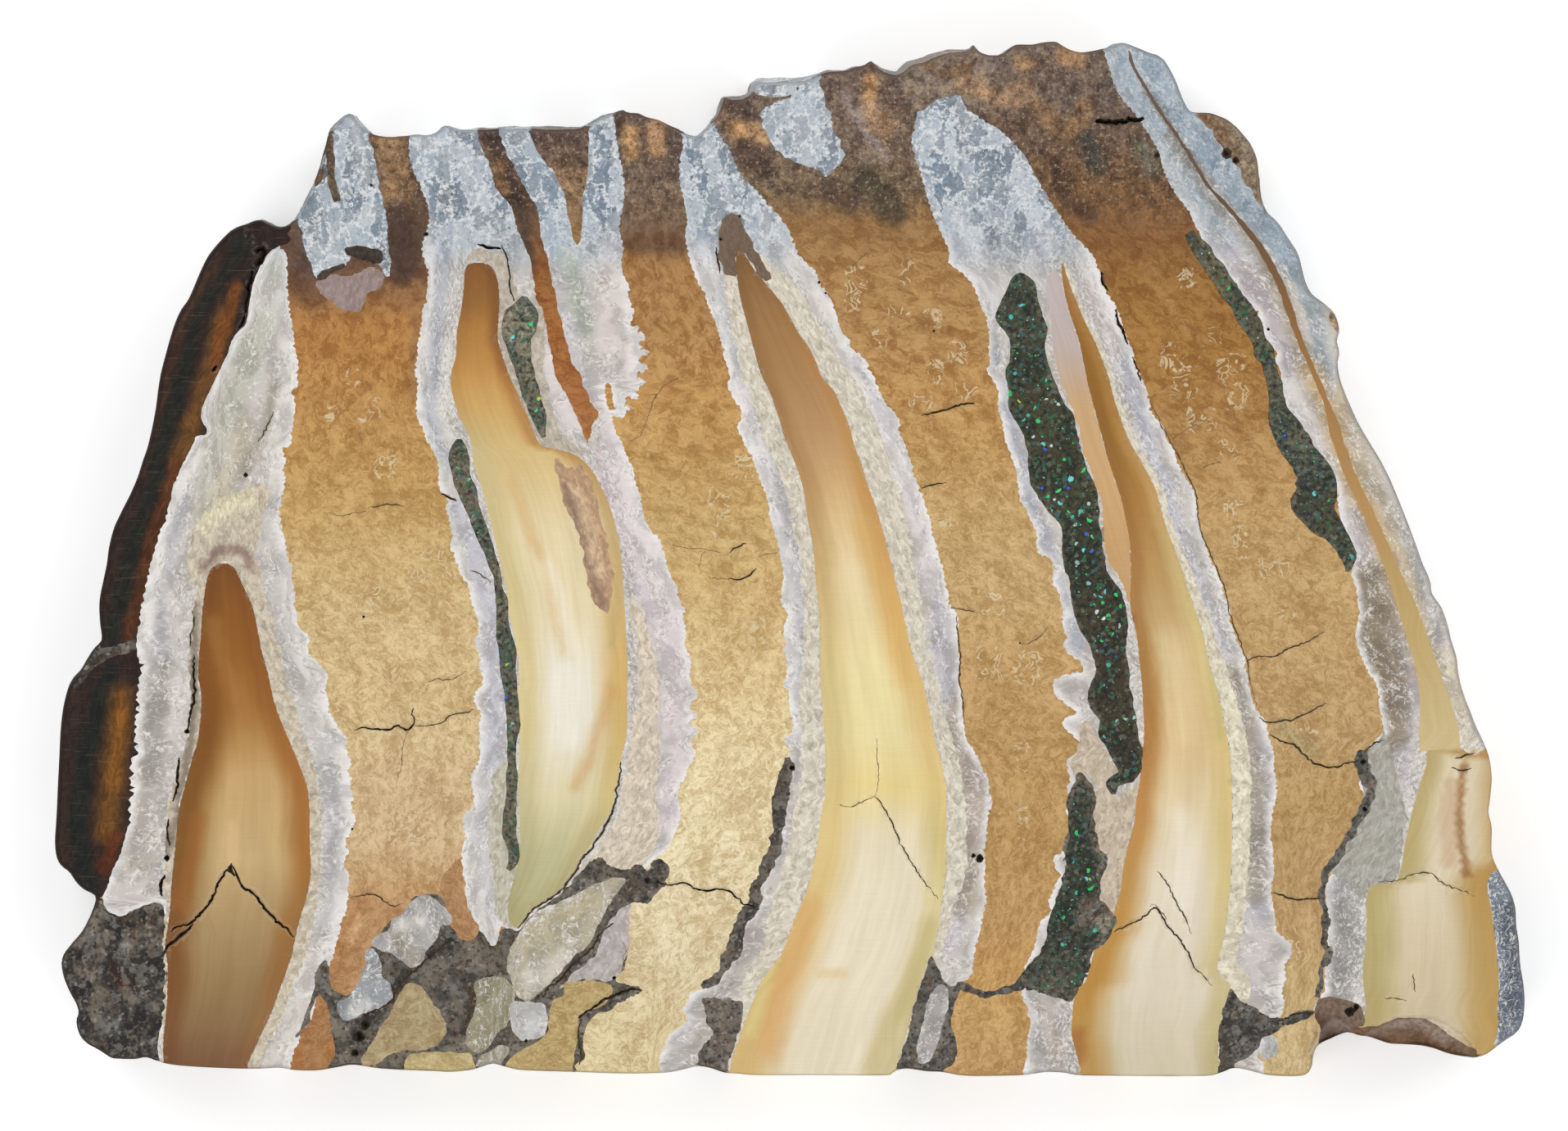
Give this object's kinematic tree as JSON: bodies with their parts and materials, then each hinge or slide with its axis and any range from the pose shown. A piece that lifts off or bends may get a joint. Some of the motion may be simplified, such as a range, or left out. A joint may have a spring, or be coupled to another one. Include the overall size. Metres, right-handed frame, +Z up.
{
  "type": "woolly mammoth tooth slice",
  "caption": "Flat polished cross slice of a mammoth cheek tooth, with enamel plates round dentine and dark resin in its open clefts, lying on its back face.",
  "frame": {"origin": "middle of the back face's box, on the surface the slice lies on", "axes": "+X across the plates towards the slanted side, +Y towards the crown edge, +Z up out of the polished face"},
  "size_m": [0.0611, 0.0432, 0.0065],
  "materials": {
    "fossil_tooth": "polished face, sawn back, natural worn rim",
    "dark_resin": "polished flush, with glitter flakes"
  },
  "bodies": {
    "root": {"tooth_slice": "fossil_tooth", "resin_fill_centre": "dark_resin", "resin_fill_lower": "dark_resin", "resin_fill_right": "dark_resin", "resin_fill_left_long": "dark_resin", "resin_fill_left_short": "dark_resin"}
  },
  "joints": []
}
